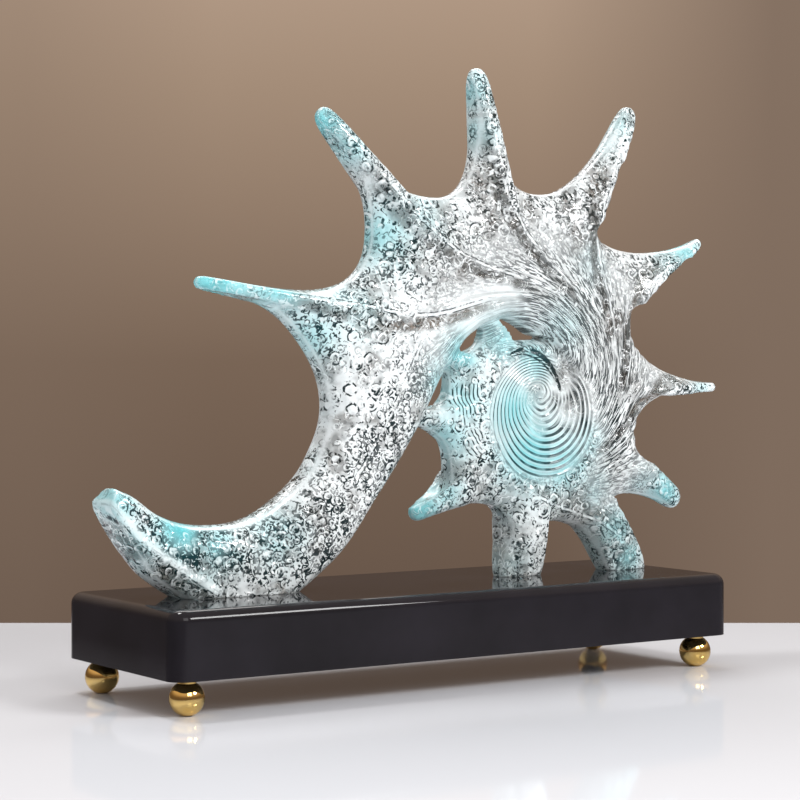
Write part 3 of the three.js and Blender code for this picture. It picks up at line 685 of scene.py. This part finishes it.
# Where the dark flecks, painted dark refractions, crowd, or stay away where the strength is below nought
CROWDS = [
    (-72, 41, 20, 0.6), (-92, 29, 18, 0.4), (-51, 40, 18, 0.5), (-22, 66, 10, 0.6), (-9, 88, 9, 0.7),
    (-33, 52, 10, 0.5), (0, 100, 8, 0.5), (-120, 24, 16, 0.2), (-41, 84, 16, -0.6), (-30, 107, 14, -0.5),
    (-49, 62, 10, -0.4), (-40, 122, 14, 0.2), (25, 125, 13, -0.8), (-3, 116, 12, -0.7), (46, 132, 12, -0.5),
    (-70, 134, 20, -0.2), (10, 150, 22, 0.2), (45, 178, 18, 0.3), (90, 170, 20, 0.4), (112, 125, 20, 0.4),
    (110, 80, 16, 0.4), (20, 84, 14, -0.3), (14, 62, 12, -0.2), (52, 114, 7, -0.5), (30, 40, 20, 0.1),
    (120, 60, 14, 0.2), (38, 106, 8, 0.3), (-102, 138, 18, -0.7), (162, 157, 9, -0.4), (2, 35, 12, -0.4),
    (116, 20, 12, 0.35), (112, 208, 14, -0.4), (-158, 40, 10, -0.4), (-128, 24, 12, 0.5), (-110, 16, 11, 0.4),
]
# Where the resin is clear enough to see through
CLEARS = [
    (48, 12, 12, 0.95), (46, 30, 12, 0.9), (86, 36, 12, 0.9), (97, 27, 8, 0.6), (20, 52, 10, 0.8),
    (112, 118, 12, 0.85), (120, 90, 8, 0.7), (108, 52, 10, 0.6), (96, 47, 8, 0.5), (80, 85, 7, 0.6),
    (82, 71, 6, 0.5), (34, 182, 11, 0.95), (38, 168, 9, 0.85), (13, 168, 9, 0.85), (0, 154, 12, 0.7),
    (20, 144, 9, 0.75), (60, 172, 9, 0.85), (86, 176, 10, 0.85), (88, 160, 10, 0.85), (78, 136, 8, 0.7),
    (97, 150, 8, 0.65), (62, 88, 8, 0.95), (82, 96, 8, 0.9), (86, 80, 7, 0.8), (66, 72, 7, 0.6),
    (33, 206, 9, 0.6), (104, 195, 12, 0.8), (134, 146, 9, 0.5), (-28, 188, 10, 0.5), (-72, 30, 12, 0.4),
    (-104, 12, 10, 0.5),
]
# Smooth pale resin without lines, right of the eye and under it
QUIET = [(80, 92, 9, 1), (84, 77, 7, 0.9), (64, 71, 7, 0.9), (80, 104, 7, 0.8), (62, 87, 9, 1)]
# Stripes like a fingerprint, left of the eye
STRIPES = [(25, 84, 8, 1), (31, 88, 6, 1), (29, 64, 7, 1), (22, 74, 5, 0.7)]
# A clear place goes through the resin along the photograph's view: what is at x on the front lies this much
# further on behind, as a share of the depth
THROUGH = 0.78
# Painted highlight: the bright line along an edge lies where the face has turned this far: the normal's share
# along Y
EDGE_HIGHLIGHT_TURN, EDGE_HIGHLIGHT_SPREAD = 0.42, 0.13

x, y, z = coordinates(shell).T
mark = marks(x, z)
level = np.abs(of_vertices(shell, "normal")[:, 1])
# The painted highlight along the edges
mark["rim"] = np.exp(-(((level - EDGE_HIGHLIGHT_TURN) / EDGE_HIGHLIGHT_SPREAD) ** 2))
side_wall = 1 - ease(0.2, 0.45, level)
straight = x - THROUGH * np.maximum(y, 0)
mark["clear"] = np.maximum(np.maximum(mark["clear"], spread(CLEARS, straight, z)[0]), 0.35 * side_wall)
for name, spots in dict(quiet=QUIET, stripes=STRIPES, tint=TINTS).items():
    mark[name] = spread(spots, x, z)[0]
mark["crowd"] = np.clip(0.5 + spread(CROWDS, x, z)[1] - 0.7 * mark["calm"], 0, 1)
MARKS = (
    "tint", "crowd", "clear", "rings", "fan", "rim", "across", "near", "crease", "by_crease", "tail", "calm",
    "quiet", "stripes",
)
for name in MARKS:
    attribute = shell.data.attributes.new(name, "FLOAT", "POINT")
    attribute.data.foreach_set("value", mark[name].astype(np.float32))
smooth(shell)
shell.name = "resin_shell"

# Colours of the resin and of its dark marks (lines, the painted shade of bubbles and flecks painted as dark
# refractions), without and with the tint, and two tones of each other finish
MILK, MILK_TINTED = (0.93, 0.965, 0.965, 1), (0.10, 0.62, 0.67, 1)
DARK_MARK, DARK_MARK_TINTED = (0.014, 0.028, 0.031, 1), (0.004, 0.065, 0.078, 1)
LACQUER = (0.012, 0.011, 0.013, 1), (0.018, 0.016, 0.020, 1)
GOLD = (0.92, 0.64, 0.20, 1), (0.97, 0.73, 0.30, 1)
STEEL = (0.52, 0.53, 0.55, 1), (0.66, 0.67, 0.69, 1)
TABLE, WALL_BESIDE, ROOM = (0.90, 0.90, 0.93, 1), (0.215, 0.153, 0.114, 1), (0.5, 0.5, 0.51, 1)
BIG_BUBBLES = dict(scale=125.0, least=0.2, spread=0.16, share=0.62, line=0.75)
SMALL_BUBBLES = dict(scale=215.0, least=0.18, spread=0.16, share=0.75, line=0.55)


class Nodes:
    """Short names for building one node tree."""

    def __init__(self, tree):
        self.tree = tree
        self.place = self.add("TexCoord").outputs

    def add(self, kind, inputs=(), **values):
        """Node of a kind, named without its ShaderNode, with its inputs set or joined."""
        made = self.tree.nodes.new("ShaderNode" + kind)
        for key, value in values.items():
            if hasattr(made, key):
                setattr(made, key, value)
            else:
                made.inputs[key].default_value = value
        for slot, source in dict(inputs).items():
            self.join(source, made.inputs[slot])
        return made

    def join(self, source, socket):
        if isinstance(source, bpy.types.NodeSocket):
            self.tree.links.new(source, socket)
        else:
            socket.default_value = source

    def maths(self, operation, *values):
        return self.add("Math", enumerate(values), operation=operation).outputs[0]

    plus = partialmethod(maths, "ADD")
    minus = partialmethod(maths, "SUBTRACT")
    times = partialmethod(maths, "MULTIPLY")
    larger = partialmethod(maths, "MAXIMUM")

    def ramp(self, source, *stops):
        made = self.add("ValToRGB", {0: source})
        elements = made.color_ramp.elements
        while len(elements) < len(stops):
            elements.new(0.5)
        for element, (at, colour) in zip(elements, stops):
            element.position = at
            element.color = colour if isinstance(colour, tuple) else (colour, colour, colour, 1)
        return made.outputs[0]

    def rise(self, source, a, b):
        return self.ramp(source, (a, 0.0), (b, 1.0))

    def fall(self, source, a, b):
        return self.ramp(source, (a, 1.0), (b, 0.0))

    def mix(self, share, a, b):
        return self.add("Mix", {0: share, 6: a, 7: b}, data_type="RGBA").outputs[2]

    def line(self, value, full, gone):
        """Line along which a value is nought, with soft sides."""
        return self.fall(self.maths("ABSOLUTE", value), full, gone)

    def vector(self, operation, a, b):
        """Outputs of vector maths: the vector is the first, and a dot product is in Value."""
        return self.add("VectorMath", {0: a, 1: b}, operation=operation).outputs

    def noise(self, scale, detail=3.0, roughness=0.55, distortion=0.0, at=None):
        made = self.add("TexNoise", {
            "Vector": at or self.place["Object"], "Scale": scale,
            "Detail": detail, "Roughness": roughness, "Distortion": distortion,
        })
        return made.outputs["Fac"]

    def patches(self, scale, low, high, detail=3.0, at=None):
        """Soft patches: a noise from one stop to another."""
        return self.ramp(self.noise(scale, detail, at=at), low, high)

    def mark(self, name):
        return self.add("Attribute", attribute_name=name).outputs["Fac"]


def material(name, **values):
    made = bpy.data.materials.new(name)
    made.use_nodes = True
    surface = made.node_tree.nodes["Principled BSDF"].inputs
    for key, value in values.items():
        surface[key.replace("_", " ")].default_value = value
    return made, Nodes(made.node_tree), surface


resin, n, surface = material("clear_resin", Roughness=0.08, IOR=1.47)
parts = n.add("SeparateXYZ", {0: n.place["Object"]}).outputs

# Place about the eye in millimetres, as polar coordinates, along the flow lines and across the leaning rings
px = n.times(n.minus(parts["X"], (EYE[0] + centre_x) * MM), 1 / MM)
pz = n.times(n.minus(parts["Z"], (EYE[1] + base_top) * MM), 1 / MM)
square = n.plus(n.times(px, px), n.times(pz, pz))
r = n.maths("SQRT", square)
turn = n.maths("DIVIDE", TURN, n.plus(1.0, n.maths("POWER", n.times(r, 1 / TURN_RADIUS), TURN_POWER)))
flow = n.plus(n.maths("ARCTAN2", pz, px), turn)
lean = n.plus(n.times(px, RING_LEAN[0]), n.times(pz, RING_LEAN[1]))
rest = 1 - float(RING_LEAN @ RING_LEAN)
rho = n.times(n.minus(n.maths("SQRT", n.plus(n.times(lean, lean), n.times(square, rest))), lean), 1 / rest)
phi = n.maths("ARCTAN2", n.minus(pz, n.times(rho, RING_LEAN[1])), n.minus(px, n.times(rho, RING_LEAN[0])))

tint, crowd, clear, rings, fan, rim, across, near, crease, by_crease, tail, calm, quiet, stripes = (
    n.mark(name) for name in MARKS
)
plain = n.minus(1.0, n.larger(rings, fan))
cloud = n.noise(60.0)
through_x = n.minus(parts["X"], n.times(n.larger(parts["Y"], 0.0), THROUGH))
through_at = n.add("CombineXYZ", {0: through_x, 2: parts["Z"]}).outputs[0]
broad = n.noise(26.0)

# Grooves of the spiral: thin dark lines, broken here and there and drawn astray close to the centre
turns = n.minus(n.times(rho, 1 / RING_PITCH), n.times(phi, RING_STARTS / (2 * math.pi)))
turns = n.plus(turns, n.times(cloud, 0.25))
core = n.ramp(n.times(rho, 0.05), (0.3, 0.9), (0.6, 0.0))
turns = n.plus(turns, n.times(n.minus(n.noise(170.0, 1.0), 0.5), core))
ring_wave = n.maths("COSINE", n.times(turns, -2 * math.pi))
ring_line = n.times(n.rise(ring_wave, 0.16, 0.5), rings)
ring_line = n.times(ring_line, n.patches(90.0, (0.38, 0.6), (0.52, 1.0)))
ring_line = n.times(ring_line, n.fall(quiet, 0.3, 0.65))
# Painted highlight: a pale edge along each line
ring_highlight = n.maths("COSINE", n.plus(n.times(turns, -2 * math.pi), 2.2))
ring_highlight = n.times(n.rise(ring_highlight, 0.5, 0.85), n.times(rings, 0.42))


def streaks(count, length):
    """Noise drawn out along the flow lines."""
    along = n.add("CombineXYZ", {
        0: n.times(n.maths("COSINE", flow), count),
        1: n.times(n.maths("SINE", flow), count),
        2: n.times(r, length),
    }).outputs[0]
    return n.noise(1.0, 1.0, 0.5, at=along)


# Dashes of the fan, with more of them around where it is wide
outward = n.rise(n.times(r, 0.01), 0.48, 0.62)
streak = n.plus(n.times(streaks(26.0, 0.42), n.minus(1.0, outward)), n.times(streaks(46.0, 0.46), outward))
fan_line = n.times(n.rise(streak, 0.503, 0.517), fan)
fan_line = n.times(fan_line, n.rise(crowd, 0.0, 0.35))
fan_clear = n.times(n.rise(streaks(13.0, 0.05), 0.5, 0.58), fan)
# Under the eye the dashes are dark, and over it they are clear
under = n.fall(n.plus(n.times(pz, 0.01), 0.5), 0.35, 0.62)

# Thin pale line along each rib, with a dark edge on both sides
off_line = n.maths("ABSOLUTE", across)
rib_pale = n.times(n.fall(off_line, 0.3, 0.55), near)
rib_pale = n.times(rib_pale, n.patches(130.0, (0.42, 0.2), (0.55, 1.0), 1.0))
rib_dark = n.times(n.line(n.minus(off_line, 0.95), 0.15, 0.35), near)
rib_dark = n.times(rib_dark, n.patches(240.0, (0.46, 0.0), (0.54, 1.0)))

# Bubbles lie in cells that are drawn a little out of round
wander = n.add("TexNoise", {"Vector": n.place["Object"], "Scale": 260.0, "Detail": 1.0}).outputs["Color"]
wander = n.vector("SUBTRACT", wander, (0.5, 0.5, 0.5))[0]
wander = n.add("VectorMath", {0: wander, "Scale": 0.0016}, operation="SCALE").outputs[0]
bubble_at = n.vector("ADD", n.vector("MULTIPLY", n.place["Object"], (1.0, 0.55, 1.0))[0], wander)[0]
breaks = n.patches(430.0, (0.45, 0.0), (0.52, 1.0), 1.0)
pale_breaks = n.patches(310.0, (0.4, 0.35), (0.55, 1.0), 1.0)


def bubbles(scale, least, spread, share, line):
    """Painted look of bubbles: pale rings as painted highlight, brighter on the lit side, and painted shade:
    a broken dark outline, and the dark crescent on the side away from the light or dot inside each.
    """
    cell = n.add("TexVoronoi", {"Vector": bubble_at, "Scale": scale, "Randomness": 0.85})
    chance = n.add("SeparateColor", {0: cell.outputs["Color"]}).outputs
    size = n.plus(least, n.times(chance[0], spread))
    there = n.maths("LESS_THAN", chance[1], share)
    away = n.vector("SUBTRACT", bubble_at, cell.outputs["Position"])[0]
    lit = n.times(n.vector("DOT_PRODUCT", away, LIT_SIDE)["Value"], scale)
    off = n.minus(cell.outputs["Distance"], size)
    width = line * scale * MM
    # Painted highlight: the pale ring, brighter on the lit side
    pale = n.line(off, 0.5 * width, 0.8 * width)
    pale = n.times(n.times(pale, pale_breaks), n.ramp(n.plus(lit, 0.5), (0.36, 0.2), (0.48, 1.0)))
    # Painted shade: a broken outline outside the ring, a crescent inside it away from the light, and a dot
    outline = n.line(n.minus(off, 1.15 * width), 0.4 * width, 0.7 * width)
    crescent = n.line(n.plus(off, 1.3 * width), 0.5 * width, 0.9 * width)
    crescent = n.times(crescent, n.fall(n.plus(lit, 0.5), 0.4, 0.5))
    dot = n.fall(n.plus(cell.outputs["Distance"], n.times(lit, 0.4)), 0.08, 0.13)
    shade = n.larger(n.times(outline, breaks), n.larger(crescent, dot))
    return n.times(pale, there), n.times(shade, there)


big_highlight, big_shade = bubbles(**BIG_BUBBLES)
small_highlight, small_shade = bubbles(**SMALL_BUBBLES)

# Where the resin is clear enough to see through: in the bands beside the ribs and in clouds
haze = n.patches(140.0, (0.5, 0.0), (0.62, 0.45), at=through_at)
open_cloud = n.patches(60.0, (0.52, 0.0), (0.6, 0.7), at=through_at)
opening = n.larger(n.minus(clear, haze), n.times(open_cloud, plain))
# Pale curls in it
curl_line = n.line(n.minus(n.noise(210.0, 0.5, 0.5, 1.4), 0.5), 0.022, 0.04)
curl_line = n.times(curl_line, n.patches(150.0, (0.45, 0.0), (0.52, 1.0), 1.0))
curl_line = n.times(curl_line, n.rise(opening, 0.25, 0.5))

# Angular flecks that crowd in places: painted dark refractions
gather = n.plus(n.times(n.minus(crowd, 0.5), 0.16), n.times(n.minus(cloud, 0.5), 0.42))
gather = n.minus(gather, n.plus(n.times(opening, 0.09), n.times(tail, 0.1)))
refracted_dark = n.rise(n.plus(n.noise(420.0, 1.0, 0.5, 1.6), gather), 0.552, 0.58)
refracted_dark = n.times(refracted_dark, n.patches(120.0, (0.35, 0.6), (0.55, 1.0), 1.0))
small_shade = n.times(small_shade, n.ramp(crowd, (0.0, 0.2), (0.4, 1.0)))
# Painted shade of the bubbles and painted dark refractions together
dark_specks = n.larger(n.larger(big_shade, small_shade), refracted_dark)
dark_specks = n.times(n.times(dark_specks, plain), n.minus(1.0, n.times(rim, 0.95)))
# The deepest tint, at the tips, has fewer of the painted dark specks
dark_specks = n.times(dark_specks, n.ramp(n.times(tint, plain), (0.55, 1.0), (0.9, 0.25)))

# Stripes like a fingerprint, in patches left of the eye
stripe_at = n.plus(n.times(r, 0.5), n.times(n.noise(150.0, 1.0), 1.2))
stripe = n.rise(n.maths("COSINE", n.times(stripe_at, 2 * math.pi)), 0.35, 0.6)
patch = n.times(stripes, n.patches(95.0, (0.4, 0.6), (0.6, 1.0), 1.0))
patch = n.rise(patch, 0.4, 0.5)
dark_specks = n.mix(n.times(patch, plain), dark_specks, stripe)
# Painted highlights of the bubbles
bubble_highlight = n.times(n.larger(big_highlight, n.times(small_highlight, 0.8)), plain)
white = n.larger(bubble_highlight, n.times(rib_pale, 0.8))
white = n.larger(white, n.larger(n.times(rim, 0.6), n.times(curl_line, 0.9)))
white = n.larger(white, n.larger(n.times(calm, 0.75), ring_highlight))
fan_dark = n.times(fan_line, n.plus(0.86, n.times(under, 0.14)))
dark = n.larger(n.larger(ring_line, fan_dark), n.larger(dark_specks, rib_dark))
crease_line = n.line(crease, 0.7, 1.0)
crease_line = n.larger(crease_line, n.line(n.plus(crease, 1.9), 0.25, 0.5))
by_crease = n.times(by_crease, n.patches(230.0, (0.40, 0.1), (0.46, 1.0)))
crease_line = n.times(crease_line, by_crease)
dark = n.larger(n.times(dark, n.minus(1.0, white)), crease_line)

# Colour: near white, tinted in patches, with the dark marks: lines, painted shade and painted dark
# refractions
tinted = n.times(tint, n.ramp(broad, (0.3, 0.6), (0.6, 1.0)))
tinted = n.times(tinted, n.minus(1.0, n.times(white, 0.6)))
pale = n.mix(tinted, MILK, MILK_TINTED)
deep = n.mix(tint, DARK_MARK, DARK_MARK_TINTED)
n.join(n.mix(dark, pale, deep), surface["Base Color"])

# Clear resin shows between the milk: in the openings, and in long patches and the upper dashes of the fan
fan_see = n.larger(n.times(fan_clear, 0.35), n.times(fan_line, n.minus(0.2, n.times(under, 0.2))))
see = n.plus(0.12, n.times(n.larger(opening, fan_see), 0.82))
# The tint hides what is behind it, less so in the tail
cover = n.times(tint, n.minus(0.65, n.times(tail, 0.45)))
see = n.times(n.times(see, n.minus(1.0, n.times(white, 0.9))), n.minus(1.0, cover))
n.join(see, surface["Transmission Weight"])

height = n.times(n.plus(n.times(big_highlight, 1.0), n.times(small_highlight, 0.5)), plain)
height = n.plus(height, n.times(n.times(ring_wave, -0.45), rings))
height = n.plus(height, n.times(n.times(streak, -1.5), fan))
height = n.minus(height, n.times(refracted_dark, 0.4))
bump = n.add("Bump", {"Height": height, "Strength": 0.5, "Distance": 0.0006})
n.join(bump.outputs["Normal"], surface["Normal"])
paint(shell, resin)
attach(shell, "root")
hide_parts("shell_casting")

# Black lacquered base
lacquer, n, surface = material("black_lacquer", Specular_IOR_Level=0.2)
n.join(n.patches(30.0, (0.3, LACQUER[0]), (0.7, LACQUER[1])), surface["Base Color"])
n.join(n.patches(14.0, (0.35, 0.03), (0.7, 0.07)), surface["Roughness"])

block = box_object(
    "lacquered_block",
    (centre_x - BASE_LENGTH / 2, -BASE_DEPTH / 2, base_under),
    (centre_x + BASE_LENGTH / 2, BASE_DEPTH / 2, base_top),
)
bm = bmesh.new()
bm.from_mesh(block.data)
upright = [e for e in bm.edges if abs(e.verts[0].co.z - e.verts[1].co.z) > BASE_CORNER * MM]
bmesh.ops.bevel(bm, geom=upright, offset=BASE_CORNER * MM, segments=10, profile=0.5, affect="EDGES")
top = [e for e in bm.edges if all(v.co.z > (base_top - 0.01) * MM for v in e.verts)]
bmesh.ops.bevel(bm, geom=top, offset=BASE_EDGE * MM, segments=8, profile=0.5, affect="EDGES")
bm.to_mesh(block.data)
bm.free()
smooth(block)
block.data.set_sharp_from_angle(angle=math.radians(30))
block.modifiers.new("normals", "WEIGHTED_NORMAL").keep_sharp = True
paint(block, lacquer)
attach(block, "root")
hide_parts("base_block")

# Gold ball feet
BALL_STEPS, BALL_RINGS = 56, 32


def metal(name, scale, detail, tones, least_rough, most_rough):
    """Metal whose tone and roughness vary together."""
    made, n, surface = material(name, Metallic=1.0)
    tone = n.noise(scale, detail)
    n.join(n.ramp(tone, (0.3, tones[0]), (0.7, tones[1])), surface["Base Color"])
    n.join(n.ramp(tone, (0.3, least_rough), (0.7, most_rough)), surface["Roughness"])
    return made


def ball_profile():
    """Radius and height from the rim of the flat up to the neck's end at the base."""
    radius = BALL_DIAMETER / 2
    centre_z = radius - BALL_FLAT
    start, end = math.acos(centre_z / radius), math.pi - math.asin(NECK_RADIUS / radius)
    angles = [start + (end - start) * i / BALL_RINGS for i in range(BALL_RINGS + 1)]
    ball = [(radius * math.sin(a), max(centre_z - radius * math.cos(a), 0)) for a in angles]
    return ball + [(NECK_RADIUS, base_under)]


def lathe(name, x, y, profile):
    """Solid turned about an upright line, closed by flat ends."""
    points = [(x, y, profile[0][1])]
    for r, z in profile:
        for k in range(BALL_STEPS):
            a = 2 * math.pi * k / BALL_STEPS
            points.append((x + r * math.cos(a), y + r * math.sin(a), z))
    points.append((x, y, profile[-1][1]))
    faces = []
    last = 1 + (len(profile) - 1) * BALL_STEPS
    for k in range(BALL_STEPS):
        j = (k + 1) % BALL_STEPS
        faces.append((0, 1 + j, 1 + k))
        for a in range(1, last, BALL_STEPS):
            faces.append((a + k, a + j, a + BALL_STEPS + j, a + BALL_STEPS + k))
        faces.append((last + k, last + j, len(points) - 1))
    return make_object(name, points, faces)


gold = metal("polished_gold", 160.0, 2.0, GOLD, 0.06, 0.11)
for number in range(1, 5):
    name = f"ball_foot_{number}"
    low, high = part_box(name)
    foot_x, foot_y = ((low[i] + high[i]) / 2 / MM for i in (0, 1))
    foot = lathe(f"gold_ball_{number}", foot_x, foot_y, ball_profile())
    smooth(foot)
    foot.data.set_sharp_from_angle(angle=math.radians(40))
    paint(foot, gold)
    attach(foot, "root")
    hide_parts(name)

# Zinc plated screws, washers and studs
steel = metal("zinc_steel", 420.0, 3.0, STEEL, 0.28, 0.42)
for name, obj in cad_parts.items():
    if name.startswith(("screw_", "washer_", "foot_stud_")):
        paint(obj, steel)

# Floor: a pale table top, square to the camera, and how far it reaches from the middle of the part
TABLE_SIDE, TABLE_FRONT, TABLE_BACK, TABLE_THICKNESS = 900, 700, 215, 12

floor_material, n, surface = material("pale_top", Roughness=0.06)
mirrored = n.add("LightPath").outputs["Is Glossy Ray"]
# Painted shade: mirrored rays see the table greyer than it is, dark far left and dim far right, so the base
# mirrors darkness in its left end and dimness at the right
mirror_shade = n.ramp(
    n.plus(n.add("SeparateXYZ", {0: n.place["Object"]}).outputs["X"], 0.5),
    (0.24, (0.06, 0.055, 0.055, 1)),
    (0.33, (0.62, 0.60, 0.63, 1)),
    (0.60, (0.62, 0.60, 0.63, 1)),
    (0.78, (0.25, 0.24, 0.26, 1)),
)
n.join(n.mix(mirrored, TABLE, mirror_shade), surface["Base Color"])
forward, right = direction(CAMERA_HEADING + 90), direction(CAMERA_HEADING)
near_side = [right * side * TABLE_SIDE - forward * TABLE_FRONT for side in (-1, 1)]
far_side = [right * side * TABLE_SIDE + forward * TABLE_BACK for side in (1, -1)]
floor = prism("table_top", near_side + far_side, -TABLE_THICKNESS, 0.0)
paint(floor, floor_material)

# World: a soft taupe studio wall for what the camera, mirrors and clear bodies see
world = bpy.data.worlds.new("studio")
scene.world = world
world.use_nodes = True
n = Nodes(world.node_tree)
background = world.node_tree.nodes["Background"].inputs
rays = n.add("LightPath").outputs
seen = n.larger(rays["Is Camera Ray"], n.larger(rays["Is Glossy Ray"], rays["Is Transmission Ray"]))
sight = n.add("SeparateXYZ", {0: n.place["Generated"]}).outputs
# The wall stands close behind, so a table top mirrors its low part
low_part = n.times(n.minus(1.0, rays["Is Camera Ray"]), n.times(rays["Is Glossy Ray"], -0.10))
wall = n.ramp(
    n.plus(n.plus(n.times(sight["Z"], 0.5), 0.5), low_part),
    (0.44, (0.13, 0.088, 0.064, 1)),
    (0.50, (0.19, 0.13, 0.092, 1)),
    (0.56, (0.37, 0.265, 0.19, 1)),
    (0.62, (0.56, 0.41, 0.31, 1)),
    (0.9, (0.6, 0.52, 0.46, 1)),
)
# Toward the sides, and most at the right, the wall is nearly even
aside = n.plus(n.times(sight["X"], float(right[0])), n.times(sight["Y"], float(right[1])))
even = n.ramp(n.plus(aside, 0.5), (0.34, 0.35), (0.42, 0.0), (0.56, 0.0), (0.66, 0.9))
even = n.times(even, n.larger(rays["Is Camera Ray"], rays["Is Transmission Ray"]))
wall = n.mix(even, wall, WALL_BESIDE)
n.join(n.mix(seen, ROOM, wall), background["Color"])
background["Strength"].default_value = 1.0

# Softboxes, in metres and watts, all turned toward one point in the shell
LIGHTS_AIM = Vector((0, 0, 0.14))


def softbox(name, place, size, power):
    data = bpy.data.lights.new(name, "AREA")
    data.shape = "RECTANGLE"
    data.size, data.size_y = size
    data.energy = power
    obj = bpy.data.objects.new(name, data)
    obj.location = place
    obj.rotation_euler = (LIGHTS_AIM - Vector(place)).to_track_quat("-Z", "Y").to_euler()
    scene.collection.objects.link(obj)


softbox("key", (0.75, -1.35, 1.05), (0.5, 0.4), 19)
softbox("fill", (-0.35, -1.45, 1.0), (0.8, 0.8), 7)
softbox("back", (0.35, 0.85, 1.15), (1.3, 0.5), 9)
softbox("top", (-0.25, 0.35, 1.5), (0.3, 0.25), 8)
